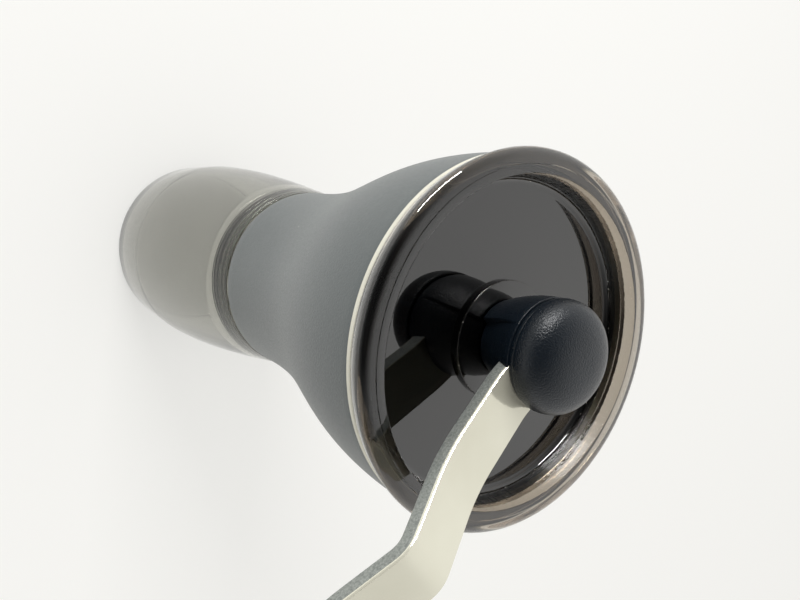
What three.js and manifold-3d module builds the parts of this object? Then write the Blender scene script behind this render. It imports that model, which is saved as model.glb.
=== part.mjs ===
// Manual coffee grinder: a flared hopper on a screw-on jar, a clear lid and a bent steel crank.
// Millimetres, +Z up along the crank axis, origin at the centre of the jar's base.
import * as THREE from "three";
import { mergeVertices } from "three/addons/utils/BufferGeometryUtils.js";
import Module from "manifold-3d";

const wasm = await Module();
wasm.setup();

// Jar
const jarHeight = 80.3;
const jarFootRadius = 25.6;
const jarFootRound = 2.3;
const jarBellyRadius = 28.8;
const jarBellyHeight = 22;
const jarMouthRadius = 23.5;
const jarWall = 2;
const jarFloor = 2.6;
const jarHandle = 0.377;
const mouthWall = 1.8;
const mouthDepth = 9.5;

// Screw thread between the jar and the hopper
const threadLead = 4;
const threadTurns = 1.25;
const threadDepth = 0.9;
const threadRoot = 1.4;
const threadCrest = 0.8;
const threadInset = 1.6;
const threadBury = 0.35;
const threadSteps = 24;

// Seal in the seam between the jar and the hopper
const neckSealHeight = 0.8;
const neckSealInset = 0.5;

// Hopper body
const bodyHeight = 74.9;
const bodyWall = 2;
const waistRadius = 23.5;
const shoulderRadius = 34.9;
const rimWall = 0.9;
const rimHeight = 0.8;
const rimDepth = 5.4;
const flareLow = 0.546;
const flareHigh = 0.413;
const neckDepth = 8.4;
const neckWall = 2.2;
const funnelHeight = 6;
const throatLip = 1.4;
const throatHeight = 1.1;

// Grinding stones and the cup that holds the outer one
const burrHeight = 15.4;
const burrWaistHeight = 6;
const burrWaistRadius = 11.4;
const burrMouthRadius = 14.3;
const cupWall = 1.5;
const cupFlangeHeight = 2.8;
const coneHeight = 12.6;
const coneTopRadius = 6.9;
const grindGap = 0.45;
const ringTeeth = 16;
const coneTeeth = 12;
const toothDepth = 0.9;
const toothTwist = 0.5;

// Shaft, its bearings and the parts on its lower end
const shaftRadius = 4;
const tangRadius = 3.7;
const tangFlat = 3.1;
const shaftTail = 4;
const hexFlats = 7;
const hexLength = 14;
const boltRadius = 3;
const guideWall = 1.6;
const guideLength = 20.5;
const bridgeDrop = 37.5;
const bridgeHeight = 5;
const bridgeRim = 1.8;
const spokeWidth = 3;
const spokeCount = 3;
const bushWall = 1.3;
const bushLength = 6;
const bushFlange = 1;
const washerHeight = 0.6;
const ringHeight = 1;
const ringDepth = 0.5;
const ringReach = 2;
const springWire = 0.55;
const springTurns = 4;
const springRadius = 5.6;
const springBends = 8;
const driverHeight = 2.4;
const driverRadius = 8;
const driverLug = 1.6;
const driverLugWidth = 3;
const nutHeight = 4.6;
const nutRadius = 9.6;
const nutLobes = 12;
const nutLobeDepth = 0.7;
const nutRecess = 1.2;

// Lid
const lidOverhang = 1.1;
const lidSealHeight = 1.2;
const skirtHeight = 2.6;
const skirtTaper = 0.7;
const skirtWall = 1.1;
const crownHeight = 1.7;
const crownRound = 1.95;
const pocketRoof = 1.5;
const panTaper = 0.7;
const panWall = 1.3;
const panDepth = 6.7;
const panFillet = 0.8;
const panFloor = 2.2;
const plugBevel = 0.8;
const lidEdge = 0.2;
const bossRadius = 11.5;
const bossHeight = 1.05;
const bossRound = 0.5;

// Crank
const hubHeight = 8.45;
const hubFrontFoot = 6.3;
const hubBackFoot = 7.8;
const hubTopRadius = 10.2;
const hubFrontSwell = 1.35;
const hubBackSwell = 1.85;
const hubBackAngle = 204;
const armWidth = 10.9;
const armThickness = 2.6;
const armTail = 8.6;
const armReach = 102;
const firstBend = 10.6;
const firstSoftness = 1.1;
const secondBend = 27;
const secondRise = 2.8;
const crestReach = 42.5;
const crestRise = 9.7;
const landingReach = 58;
const landingRise = 4.6;
const softBend = 5;
const sharpBend = 2.6;
const hubWasherRadius = 9.9;
const hubWasherHeight = 1;
const capRadius = 10.33;
const capRim = 0.7;
const capHeight = 6.6;
const capFullness = 0.8;
const socketRoof = 1.6;
const pegRadius = 1.2;
const pegOffset = 4.8;
const pegBite = 2;
const hubScrewRadius = 1.5;
const hubScrewHead = 3.1;
const hubScrewHeadHeight = 1.6;
const hubScrewBite = 5;

// Knob
const pinRadius = 3;
const pinFootRadius = 5;
const pinFootHeight = 1.4;
const pinHeadRadius = 4.4;
const pinHeadHeight = 1.8;
const knobWasherRadius = 6.5;
const knobLength = 40;
const knobBaseRadius = 10;
const knobBellyRadius = 11.8;
const knobBaseRound = 1.2;
const knobWeb = 29;
const knobRimWall = 3.2;
const knobCapPlug = 3;
const knobCapHeight = 7.4;

// Clearances
const touch = 0.05;
const seat = 0.3;
const running = 0.25;
const lidDrop = 0.15;
const pinPlay = 0.3;

// Number of flat sides on round pieces
const bigRound = 40;
const domeSteps = 7;
const hubSides = 60;
const hubRows = 7;
const midRound = 28;
const smallRound = 20;
const pegRound = 12;

// Heights, stacked from the base
const seamBottom = jarHeight + touch;
const bodyBottom = seamBottom + neckSealHeight + touch;
const shoulderZ = bodyBottom + bodyHeight;
const rimTop = shoulderZ + rimHeight;
const neckEnd = bodyBottom - neckDepth;
const flangeTop = neckEnd - touch;
const flangeBottom = flangeTop - cupFlangeHeight;
const stoneBottom = flangeTop + 0.8 * touch;
const stoneTop = stoneBottom + burrHeight;
const seatZ = stoneTop + touch;
const throatTop = seatZ + throatHeight;
const funnelTop = throatTop + funnelHeight;
const skirtBottom = shoulderZ + touch + lidSealHeight + touch;
const widestZ = skirtBottom + skirtHeight;
const lidTop = widestZ + crownHeight;
const panZ = lidTop - panDepth;
const bossTop = panZ + bossHeight;
const hubBottom = bossTop + running;
const armBottom = hubBottom + hubHeight + touch;
const armTop = armBottom + armThickness;
const capBottom = armTop + touch + hubWasherHeight + touch;
const capTop = capBottom + capRim + capHeight;
const socketTop = armBottom - touch - socketRoof;
const screwHeadBottom = socketTop - touch - hubScrewHeadHeight;
const shaftEnd = screwHeadBottom - running;
const bridgeTop = shoulderZ - bridgeDrop;
const guideTop = bridgeTop;
const guideBottom = guideTop - guideLength;
const coneBottom = stoneBottom + touch;
const coneTop = coneBottom + coneHeight;
const driverTop = coneBottom - touch;
const driverBottom = driverTop - driverHeight;
const nutTop = driverBottom - touch;
const nutBottom = nutTop - nutHeight;
const landingTop = armTop + landingRise;

// Radii that fit one another
const mouthBore = jarMouthRadius - mouthWall;
const neckRadius = mouthBore - threadDepth - seat;
const neckBore = neckRadius - neckWall;
const cupRadius = neckBore - running;
const stoneRadius = cupRadius - cupWall - running;
const rimInner = shoulderRadius - bodyWall;
const rimOuter = rimInner + rimWall;
const bushBore = shaftRadius + running;
const guideBore = bushBore + bushWall + touch;
const guideRadius = guideBore + guideWall;
const lidHole = shaftRadius + 3 * seat;
const lidRadius = shoulderRadius + lidOverhang;
const plugRadius = rimInner - seat;
const panRadius = plugRadius - panWall;

// Solids
const solidOf = (geometry) => {
  const bare = geometry.index ? geometry.toNonIndexed() : geometry.clone();
  for (const name of Object.keys(bare.attributes)) if (name !== "position") bare.deleteAttribute(name);
  const merged = mergeVertices(bare, 1e-4);
  return new wasm.Manifold(new wasm.Mesh({
    numProp: 3,
    vertProperties: new Float32Array(merged.attributes.position.array),
    triVerts: new Uint32Array(merged.index.array),
  }));
};

const geometryOf = (solid) => {
  const mesh = solid.getMesh();
  const geometry = new THREE.BufferGeometry();
  const points = new Float32Array(mesh.numVert * 3);
  for (let i = 0; i < mesh.numVert; i++) {
    for (let k = 0; k < 3; k++) points[3 * i + k] = mesh.vertProperties[i * mesh.numProp + k];
  }
  geometry.setAttribute("position", new THREE.BufferAttribute(points, 3));
  geometry.setIndex(new THREE.BufferAttribute(new Uint32Array(mesh.triVerts), 1));
  geometry.computeVertexNormals();
  return geometry;
};

const join = (first, ...others) =>
  geometryOf(others.reduce((whole, piece) => whole.add(solidOf(piece)), solidOf(first)));
const cut = (first, ...others) =>
  geometryOf(others.reduce((whole, piece) => whole.subtract(solidOf(piece)), solidOf(first)));
const common = (first, second) => geometryOf(solidOf(first).intersect(solidOf(second)));

// A profile of [radius, height] points, listed with the material on the left, turned about +Z
const turned = (profile, sides) => {
  const closed = profile[0][0] === 0 ? profile : [...profile, profile[0]];
  const points = closed.map(([radius, height]) => new THREE.Vector2(radius, height));
  return new THREE.LatheGeometry(points, sides).rotateX(Math.PI / 2);
};

const disc = (radius, bottom, top, sides) =>
  turned([[0, bottom], [radius, bottom], [radius, top], [0, top]], sides);

const tube = (inner, outer, bottom, top, sides) =>
  turned([[inner, bottom], [outer, bottom], [outer, top], [inner, top]], sides);

const block = (x0, x1, y0, y1, z0, z1) =>
  new THREE.BoxGeometry(x1 - x0, y1 - y0, z1 - z0).translate((x0 + x1) / 2, (y0 + y1) / 2, (z0 + z1) / 2);

const hexPrism = (flats, bottom, top) =>
  new THREE.CylinderGeometry(flats / Math.sqrt(3), flats / Math.sqrt(3), top - bottom, 6)
    .rotateX(Math.PI / 2).translate(0, 0, (bottom + top) / 2);

// Quarter round from one profile point to another; "swell" keeps the corner full, its absence hollows it
const quarter = (from, to, steps, swell) => Array.from({ length: steps + 1 }, (_, i) => {
  const angle = (i / steps) * Math.PI / 2;
  const along = swell ? Math.sin(angle) : 1 - Math.cos(angle);
  const across = swell ? 1 - Math.cos(angle) : Math.sin(angle);
  return [from[0] + (to[0] - from[0]) * across, from[1] + (to[1] - from[1]) * along];
});

// Closed loft through rings that have the same number of points
const loft = (rings, joined) => {
  const count = rings[0].length;
  const position = rings.flat(2);
  const index = [];
  const last = rings.length - (joined ? 0 : 1);
  for (let i = 0; i < last; i++) {
    const next = (i + 1) % rings.length;
    for (let k = 0; k < count; k++) {
      const side = (k + 1) % count;
      index.push(i * count + k, i * count + side, next * count + side);
      index.push(i * count + k, next * count + side, next * count + k);
    }
  }
  if (!joined) {
    for (let k = 1; k < count - 1; k++) {
      index.push(0, k + 1, k);
      index.push((rings.length - 1) * count, (rings.length - 1) * count + k, (rings.length - 1) * count + k + 1);
    }
  }
  const geometry = new THREE.BufferGeometry();
  geometry.setAttribute("position", new THREE.Float32BufferAttribute(position, 3));
  geometry.setIndex(index);
  return geometry;
};

// Right-hand thread ridge that climbs from "low"; "outward" says which side of "wall" it stands on
const threadRidge = (wall, low, startAngle, outward) => {
  const side = outward ? 1 : -1;
  const section = [
    [wall - side * threadBury, -threadRoot / 2],
    [wall + side * threadDepth, -threadCrest / 2],
    [wall + side * threadDepth, threadCrest / 2],
    [wall - side * threadBury, threadRoot / 2],
  ];
  if (!outward) section.reverse();
  const steps = Math.round(threadTurns * threadSteps);
  const rings = Array.from({ length: steps + 1 }, (_, i) => {
    const turn = (i / steps) * threadTurns;
    const angle = startAngle + turn * 2 * Math.PI;
    const climb = low + turn * threadLead;
    return section.map(([radius, rise]) => [radius * Math.cos(angle), radius * Math.sin(angle), climb + rise]);
  });
  return loft(rings.map((ring) => ring.slice().reverse()), false);
};

// Outer face of the hopper: a smooth flare from the waist to the shoulder
const flare = (inset) => new THREE.CubicBezierCurve(
  new THREE.Vector2(waistRadius - inset, bodyBottom),
  new THREE.Vector2(waistRadius - inset, bodyBottom + bodyHeight * flareLow),
  new THREE.Vector2(shoulderRadius - inset, shoulderZ - bodyHeight * flareHigh),
  new THREE.Vector2(shoulderRadius - inset, shoulderZ),
);

const flareSteps = 12;
const flarePoints = (inset) => flare(inset).getPoints(flareSteps).map((point) => [point.x, point.y]);

const flareRadius = (inset, height) => {
  const points = flare(inset).getPoints(10 * flareSteps);
  const above = points.findIndex((point) => point.y >= height);
  const [low, high] = [points[above - 1], points[above]];
  return low.x + (high.x - low.x) * (height - low.y) / (high.y - low.y);
};

const jarCurve = (inset, bottom, top, topRadius) => new THREE.QuadraticBezierCurve(
  new THREE.Vector2(jarBellyRadius - inset, bottom),
  new THREE.Vector2(jarBellyRadius - inset, bottom + (top - bottom) * jarHandle),
  new THREE.Vector2(topRadius, top),
).getPoints(8).map((point) => [point.x, point.y]);

function makeJar() {
  const mouthLow = jarHeight - mouthDepth;
  const outside = jarCurve(0, jarBellyHeight, jarHeight, jarMouthRadius);
  const low = outside.filter(([, height]) => height < mouthLow);
  const innerTop = low[low.length - 1][0] - jarWall;
  const inside = jarCurve(jarWall, jarBellyHeight, mouthLow - 2, innerTop).reverse();
  const footTop = [jarFootRadius + jarFootRound, jarFootRound];
  const profile = [
    [0, 0],
    ...quarter([jarFootRadius, 0], footTop, 4, false).map(([radius], i) => {
      const angle = (i / 4) * Math.PI / 2;
      return [radius, jarFootRound * (1 - Math.cos(angle))];
    }),
    ...outside,
    [mouthBore, jarHeight],
    [mouthBore, mouthLow],
    ...inside,
    [jarFootRadius + jarFootRound - jarWall, jarFloor + jarFootRound],
    [jarFootRadius - jarWall, jarFloor],
    [0, jarFloor],
  ];
  const ridgeLow = jarHeight - threadInset - threadTurns * threadLead + 0.2 * threadLead;
  return join(turned(profile, bigRound), threadRidge(mouthBore, ridgeLow, 0, false));
}

function makeHopperBody() {
  const outside = flarePoints(0);
  const pocketLow = rimTop - rimHeight - rimDepth;
  const inside = flarePoints(bodyWall).filter(([, height]) => height > funnelTop + 2 && height < pocketLow - 1);
  const profile = [
    [neckRadius, neckEnd],
    [neckRadius, bodyBottom],
    ...outside,
    [rimOuter, shoulderZ],
    [rimOuter, rimTop],
    [rimInner, rimTop],
    [rimInner, pocketLow],
    ...inside.reverse(),
    [flareRadius(bodyWall, funnelTop), funnelTop],
    [neckBore - throatLip, throatTop],
    [neckBore - throatLip, seatZ],
    [neckBore, seatZ],
    [neckBore, neckEnd],
  ];
  const ridgeLow = jarHeight - threadInset - threadTurns * threadLead + 0.2 * threadLead;
  return join(turned(profile, bigRound), threadRidge(neckRadius, ridgeLow, Math.PI, true));
}

const makeNeckSeal = () =>
  tube(neckRadius + threadDepth, jarMouthRadius - neckSealInset, seamBottom, seamBottom + neckSealHeight, bigRound);

// Ring or cone with grinding teeth: the tooth side's radius swings by the tooth depth
const toothed = (rows, teeth, inward, twist) => {
  const perTooth = 3;
  const count = teeth * perTooth;
  return rows.map(([radius, height, toothShare]) => Array.from({ length: count }, (_, k) => {
    const angle = (k / count) * 2 * Math.PI + twist * (height - rows[0][1]) / coneHeight;
    const phase = (k % perTooth) / (perTooth - 1);
    const depth = toothShare * toothDepth * phase;
    const reach = inward ? radius + depth : radius - depth;
    return [reach * Math.cos(angle), reach * Math.sin(angle), height];
  }));
};

const plainRing = (radius, height, count, twist, base) => Array.from({ length: count }, (_, k) => {
  const angle = (k / count) * 2 * Math.PI + twist * (height - base) / coneHeight;
  return [radius * Math.cos(angle), radius * Math.sin(angle), height];
});

function makeOuterBurr() {
  const waistZ = stoneBottom + burrWaistHeight;
  const rows = [
    [burrMouthRadius, stoneBottom, 0.3],
    [burrWaistRadius, waistZ, 0.6],
    [burrWaistRadius + 0.3, waistZ + 2, 1],
    [stoneRadius - 1.4 - toothDepth, stoneTop, 1],
  ];
  const inner = toothed(rows, ringTeeth, true, toothTwist);
  const count = inner[0].length;
  const ring = (radius, height) => plainRing(radius, height, count, toothTwist, stoneBottom);
  return loft([...inner.map((row) => row.slice()), ring(stoneRadius, stoneTop), ring(stoneRadius, stoneBottom)]
    .map((row) => row.slice().reverse()), true);
}

function coneRadiusAt(height) {
  const foot = burrMouthRadius - grindGap;
  return foot + (coneTopRadius - foot) * (height - coneBottom) / coneHeight;
}

function makeInnerBurr() {
  const middle = coneBottom + burrWaistHeight;
  const rows = [
    [coneRadiusAt(coneBottom), coneBottom, 0.3],
    [coneRadiusAt(middle), middle, 0.7],
    [coneRadiusAt(coneTop - 1), coneTop - 1, 1],
    [coneTopRadius - 0.5, coneTop, 0.4],
  ];
  const outer = toothed(rows, coneTeeth, false, -toothTwist);
  const cone = loft(outer, false);
  const slot = driverLugWidth / 2 + running;
  return cut(
    cone,
    disc(shaftRadius + running, coneBottom - 1, coneTop + 1, smallRound),
    block(-driverRadius - running, driverRadius + running, -slot, slot, coneBottom - 1, coneBottom + driverLug + running),
  );
}

const makeBurrCup = () => turned([
  [burrMouthRadius + 0.6, flangeBottom],
  [neckRadius, flangeBottom],
  [neckRadius, flangeTop],
  [cupRadius, flangeTop],
  [cupRadius, stoneTop - 0.5],
  [cupRadius - cupWall, stoneTop - 0.5],
  [cupRadius - cupWall, flangeTop],
  [burrMouthRadius + 0.6, flangeTop],
], bigRound);

// Bridge that holds the bearing tube in the hopper and lets the beans fall past
function makeGuideBridge() {
  const low = bridgeTop - bridgeHeight;
  const outerLow = flareRadius(bodyWall, low) - seat;
  const outerTop = flareRadius(bodyWall, bridgeTop) - seat;
  const rim = turned([
    [outerLow - bridgeRim, low],
    [outerLow, low],
    [outerTop, bridgeTop],
    [outerTop - bridgeRim, bridgeTop],
  ], bigRound);
  const barrel = disc(guideRadius, guideBottom, guideTop, midRound);
  const spokes = Array.from({ length: spokeCount }, (_, i) => {
    const angle = Math.PI / 2 + (i / spokeCount) * 2 * Math.PI;
    return block(guideRadius - 1, outerLow - 0.5, -spokeWidth / 2, spokeWidth / 2, low + 0.4, bridgeTop - 0.4)
      .rotateZ(angle);
  });
  return cut(join(rim, barrel, ...spokes), disc(guideBore, guideBottom - 1, guideTop + 1, smallRound));
}

const makeUpperBush = () => turned([
  [bushBore, guideTop - bushLength],
  [bushBore + bushWall, guideTop - bushLength],
  [bushBore + bushWall, guideTop + touch],
  [bushBore + bushWall + bushFlange, guideTop + touch],
  [bushBore + bushWall + bushFlange, guideTop + touch + bushFlange],
  [bushBore, guideTop + touch + bushFlange],
], smallRound);

const makeLowerBush = () => turned([
  [bushBore, guideBottom - touch - bushFlange],
  [bushBore + bushWall + bushFlange, guideBottom - touch - bushFlange],
  [bushBore + bushWall + bushFlange, guideBottom - touch],
  [bushBore + bushWall, guideBottom - touch],
  [bushBore + bushWall, guideBottom + bushLength],
  [bushBore, guideBottom + bushLength],
], smallRound);

const upperBushTop = guideTop + touch + bushFlange;
const ringBottom = upperBushTop + touch + washerHeight + touch;
const lowerBushBottom = guideBottom - touch - bushFlange;
const springTop = lowerBushBottom - touch - washerHeight - touch;
const springBottom = coneTop + touch;
const grooveRadius = shaftRadius - ringDepth;

function makeDriveShaft() {
  const hexBottom = shaftEnd - hexLength;
  const bolt = disc(boltRadius, nutBottom - shaftTail, driverBottom + 1, smallRound);
  const tang = common(
    disc(tangRadius, driverBottom - touch, coneBottom + 1, smallRound),
    block(-tangFlat, tangFlat, -tangRadius, tangRadius, driverBottom - 1, coneBottom + 2),
  );
  const round = turned([
    [0, coneBottom],
    [shaftRadius, coneBottom],
    [shaftRadius, ringBottom],
    [grooveRadius, ringBottom],
    [grooveRadius, ringBottom + ringHeight],
    [shaftRadius, ringBottom + ringHeight],
    [shaftRadius, hexBottom],
    [0, hexBottom],
  ], smallRound);
  return join(round, bolt, tang, hexPrism(hexFlats, hexBottom - 1, shaftEnd));
}

const makeThrustWasher = () =>
  tube(bushBore, bushBore + bushWall + bushFlange, upperBushTop + touch, upperBushTop + touch + washerHeight,
    smallRound);

// Open clip that snaps into the shaft's groove
function makeRetainingRing() {
  const inner = grooveRadius + touch;
  const hoop = tube(inner, shaftRadius + ringReach, ringBottom + touch, ringBottom + ringHeight - touch, smallRound);
  const mouth = block(0, shaftRadius + 2 * ringReach, -inner * 0.8, inner * 0.8, ringBottom - 1,
    ringBottom + ringHeight + 1);
  return cut(hoop, mouth);
}

const makeSpringWasher = () =>
  tube(bushBore, bushBore + bushWall + bushFlange, springTop + touch, springTop + touch + washerHeight, smallRound);

// Compression spring: one wire wound into a helix, with flat ends
function makeBurrSpring() {
  const low = springBottom + springWire;
  const high = springTop - springWire;
  const steps = springTurns * springBends;
  const sides = 5;
  const rings = Array.from({ length: steps + 1 }, (_, i) => {
    const turn = (i / steps) * springTurns * 2 * Math.PI;
    const height = low + (high - low) * (i / steps);
    return Array.from({ length: sides }, (_, k) => {
      const around = (k / sides) * 2 * Math.PI;
      const radius = springRadius + springWire * Math.cos(around);
      return [radius * Math.cos(turn), radius * Math.sin(turn), height + springWire * Math.sin(around)];
    });
  });
  return loft(rings.map((ring) => ring.slice().reverse()), false);
}

function makeBurrDriver() {
  const hole = common(
    disc(tangRadius + touch, driverBottom - 1, driverTop + 1, smallRound),
    block(-tangFlat - touch, tangFlat + touch, -driverRadius, driverRadius, driverBottom - 2, driverTop + 2),
  );
  const plate = cut(disc(driverRadius, driverBottom, driverTop - touch, midRound), hole);
  const half = driverLugWidth / 2;
  const lugTop = coneBottom + driverLug;
  const reach = driverRadius - running;
  const inner = shaftRadius + 2 * running;
  return join(
    plate,
    block(inner, reach, -half, half, driverTop - 1, lugTop),
    block(-reach, -inner, -half, half, driverTop - 1, lugTop),
  );
}

// Finger nut with lobes; its hollow underside shows the shaft's end
function makeAdjusterNut() {
  const count = nutLobes * 4;
  const ring = (height, share) => Array.from({ length: count }, (_, k) => {
    const angle = (k / count) * 2 * Math.PI;
    const radius = nutRadius * share - nutLobeDepth * (k % 4 === 0 ? 1 : 0);
    return [radius * Math.cos(angle), radius * Math.sin(angle), height];
  });
  const body = loft([ring(nutBottom, 0.95), ring(nutBottom + 0.5, 1), ring(nutTop - 0.5, 1), ring(nutTop, 0.95)],
    false);
  return cut(
    body,
    disc(boltRadius + touch, nutBottom - 1, nutTop + 1, smallRound),
    tube(boltRadius + 1.6, nutRadius - 2.2, nutBottom - 1, nutBottom + nutRecess, midRound),
  );
}

function makeLid() {
  const crownStart = lidRadius - crownRound;
  const crown = Array.from({ length: 5 }, (_, i) => {
    const angle = (i / 4) * Math.PI / 2;
    return [crownStart + crownRound * Math.cos(angle), widestZ + crownHeight * Math.sin(angle)];
  });
  const wallFoot = panRadius - panTaper;
  const fillet = Array.from({ length: 4 }, (_, i) => {
    const angle = (i / 3) * Math.PI / 2;
    return [wallFoot - panFillet * (1 - Math.cos(angle)), panZ + panFillet * (1 - Math.sin(angle))];
  });
  const boss = Array.from({ length: 4 }, (_, i) => {
    const angle = (i / 3) * Math.PI / 2;
    return [bossRadius - bossRound * (1 - Math.cos(angle)), bossTop - bossRound * (1 - Math.sin(angle))];
  });
  const pocketTop = lidTop - pocketRoof;
  const profile = [
    [lidRadius - skirtTaper - skirtWall, skirtBottom],
    [lidRadius - skirtTaper, skirtBottom],
    ...crown,
    [panRadius + lidEdge, lidTop],
    [panRadius, lidTop - lidEdge],
    ...fillet,
    [bossRadius, panZ],
    ...boss,
    [lidHole, bossTop],
    [lidHole, panZ - panFloor],
    [plugRadius - plugBevel, panZ - panFloor],
    [plugRadius, panZ - panFloor + plugBevel],
    [plugRadius, pocketTop],
    [lidRadius - skirtTaper - skirtWall, pocketTop],
  ];
  return turned(profile, bigRound);
}

const makeLidSeal = () =>
  tube(rimOuter + seat, lidRadius - skirtTaper - 2 * touch, shoulderZ + touch, skirtBottom - touch, bigRound);

const pegSides = [-1, 1];
const pegHoles = (bottom, top) =>
  pegSides.map((side) => disc(pegRadius + touch, bottom, top, pegRound).translate(side * pegOffset, 0, 0));
const screwHole = (bottom, top) => disc(hubScrewRadius + touch, bottom, top, smallRound);

// The hub swells from its foot to its top, and its back half is fuller than its front
function hubRing(height) {
  const left = 1 - (height - hubBottom) / (armTop - hubBottom);
  const front = hubTopRadius - (hubTopRadius - hubFrontFoot) * left ** hubFrontSwell;
  const back = hubTopRadius - (hubTopRadius - hubBackFoot) * left ** hubBackSwell;
  return Array.from({ length: hubSides }, (_, k) => {
    const angle = (k / hubSides) * 2 * Math.PI;
    const radius = Math.abs(angle - Math.PI) <= THREE.MathUtils.degToRad(hubBackAngle / 2) ? back : front;
    return [radius * Math.cos(angle), radius * Math.sin(angle), height];
  });
}

// Slot in the hub's top that the arm's tail lies in, open towards the knob
function armSlot() {
  const slot = new THREE.Shape();
  const half = armWidth / 2 + touch;
  const tailCentre = armWidth / 2 - armTail;
  slot.moveTo(2 * hubTopRadius, half);
  slot.lineTo(tailCentre, half);
  slot.absarc(tailCentre, 0, half, Math.PI / 2, 3 * Math.PI / 2, false);
  slot.lineTo(2 * hubTopRadius, -half);
  return new THREE.ExtrudeGeometry(slot, { depth: 2 * armThickness, bevelEnabled: false, curveSegments: 10 })
    .translate(0, 0, armBottom - touch);
}

function makeHubSleeve() {
  const rings = Array.from({ length: hubRows + 1 }, (_, i) =>
    hubRing(hubBottom + (armTop - hubBottom) * (i / hubRows)));
  const pegs = pegSides.map((side) =>
    disc(pegRadius, armBottom - 1, capBottom + pegBite, pegRound).translate(side * pegOffset, 0, 0));
  return cut(
    join(cut(loft(rings, false), armSlot()), ...pegs),
    hexPrism(hexFlats + 2 * touch, hubBottom - 1, socketTop),
    screwHole(socketTop - 1, armBottom + 1),
  );
}

// Centre line of the arm's top face, with each corner rounded over a given length
function armLine() {
  const corners = [
    [-armTail - 1, armTop, 0],
    [firstBend, armTop, firstSoftness],
    [secondBend, armTop + secondRise, softBend],
    [crestReach, armTop + crestRise, sharpBend],
    [landingReach, landingTop, softBend],
    [armReach + armWidth, landingTop, 0],
  ].map(([x, z, bend]) => ({ at: new THREE.Vector2(x, z), bend }));
  return corners.flatMap(({ at, bend }, i) => {
    if (bend === 0) return [at];
    const before = corners[i - 1].at.clone().sub(at).setLength(bend).add(at);
    const after = corners[i + 1].at.clone().sub(at).setLength(bend).add(at);
    return new THREE.QuadraticBezierCurve(before, at, after).getPoints(4);
  });
}

function makeCrankArm() {
  const top = armLine();
  const under = top.map((point, i) => {
    const before = top[Math.max(i - 1, 0)];
    const after = top[Math.min(i + 1, top.length - 1)];
    const along = after.clone().sub(before).normalize();
    return new THREE.Vector2(point.x + along.y * armThickness, point.y - along.x * armThickness);
  });
  const side = new THREE.ExtrudeGeometry(new THREE.Shape([...under, ...top.slice().reverse()]),
    { depth: armWidth, bevelEnabled: false }).rotateX(Math.PI / 2).translate(0, armWidth / 2, 0);
  const tailRadius = armWidth / 2;
  const outline = new THREE.Shape();
  outline.absarc(armReach, 0, tailRadius, -Math.PI / 2, Math.PI / 2, false);
  outline.absarc(tailRadius - armTail, 0, tailRadius, Math.PI / 2, 3 * Math.PI / 2, false);
  const planReach = armThickness + crestRise + armWidth;
  const plan = new THREE.ExtrudeGeometry(outline, { depth: 2 * planReach, bevelEnabled: false, curveSegments: 10 })
    .translate(0, 0, armTop - planReach);
  return cut(
    common(side, plan),
    screwHole(armBottom - 1, armTop + 1),
    disc(pinRadius + touch, landingTop - armThickness - 1, landingTop + 1, smallRound).translate(armReach, 0, 0),
    ...pegHoles(armBottom - 1, armTop + 1),
  );
}

const makeHubWasher = () => cut(
  tube(hubScrewRadius + running, hubWasherRadius, armTop + touch, capBottom - touch, midRound),
  ...pegHoles(armTop - 1, capBottom + 1),
);

function makeHubCap() {
  const rim = capBottom + capRim;
  const dome = Array.from({ length: domeSteps + 1 }, (_, i) => {
    const angle = (i / domeSteps) * Math.PI / 2;
    const reach = i === domeSteps ? 0 : capRadius * Math.cos(angle) ** capFullness;
    return [reach, rim + capHeight * Math.sin(angle) ** capFullness];
  });
  const whole = turned([[0, capBottom], [capRadius - capRim, capBottom], ...dome], midRound);
  return cut(
    whole,
    screwHole(capBottom - 1, capBottom + hubScrewBite + touch),
    ...pegHoles(capBottom - 1, capBottom + pegBite + touch),
  );
}

const makeHubScrew = () => turned([
  [0, screwHeadBottom],
  [hubScrewHead, screwHeadBottom],
  [hubScrewHead, screwHeadBottom + hubScrewHeadHeight],
  [hubScrewRadius, screwHeadBottom + hubScrewHeadHeight],
  [hubScrewRadius, capBottom + hubScrewBite],
  [0, capBottom + hubScrewBite],
], smallRound);

const knobWasherTop = landingTop + touch + washerHeight;
const knobBottom = knobWasherTop + touch;
const knobTop = knobBottom + knobLength;
const webTop = knobBottom + knobWeb;
const pinHeadBottom = webTop + touch;
const knobPlugRadius = knobBellyRadius - knobRimWall;

const makeKnobPin = () => {
  const armUnder = landingTop - armThickness - touch;
  return turned([
    [0, armUnder - pinFootHeight],
    [pinFootRadius - 0.5, armUnder - pinFootHeight],
    [pinFootRadius, armUnder - pinFootHeight / 2],
    [pinFootRadius, armUnder],
    [pinRadius, armUnder],
    [pinRadius, pinHeadBottom],
    [pinHeadRadius, pinHeadBottom],
    [pinHeadRadius, pinHeadBottom + pinHeadHeight],
    [0, pinHeadBottom + pinHeadHeight],
  ], smallRound).translate(armReach, 0, 0);
};

const makeKnobWasher = () =>
  tube(pinRadius + pinPlay, knobWasherRadius, landingTop + touch, knobWasherTop, midRound)
    .translate(armReach, 0, 0);

function makeKnob() {
  const side = new THREE.CubicBezierCurve(
    new THREE.Vector2(knobBaseRadius, knobBottom + knobBaseRound),
    new THREE.Vector2(knobBaseRadius, knobBottom + knobLength * 0.4),
    new THREE.Vector2(knobBellyRadius, knobBottom + knobLength * 0.55),
    new THREE.Vector2(knobBellyRadius, knobTop),
  ).getPoints(6).map((point) => [point.x, point.y]);
  return turned([
    [pinRadius + pinPlay, knobBottom],
    [knobBaseRadius - knobBaseRound, knobBottom],
    [knobBaseRadius - knobBaseRound * 0.3, knobBottom + knobBaseRound * 0.3],
    ...side,
    [knobPlugRadius, knobTop],
    [knobPlugRadius, webTop],
    [pinRadius + pinPlay, webTop],
  ], midRound).translate(armReach, 0, 0);
}

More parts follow.
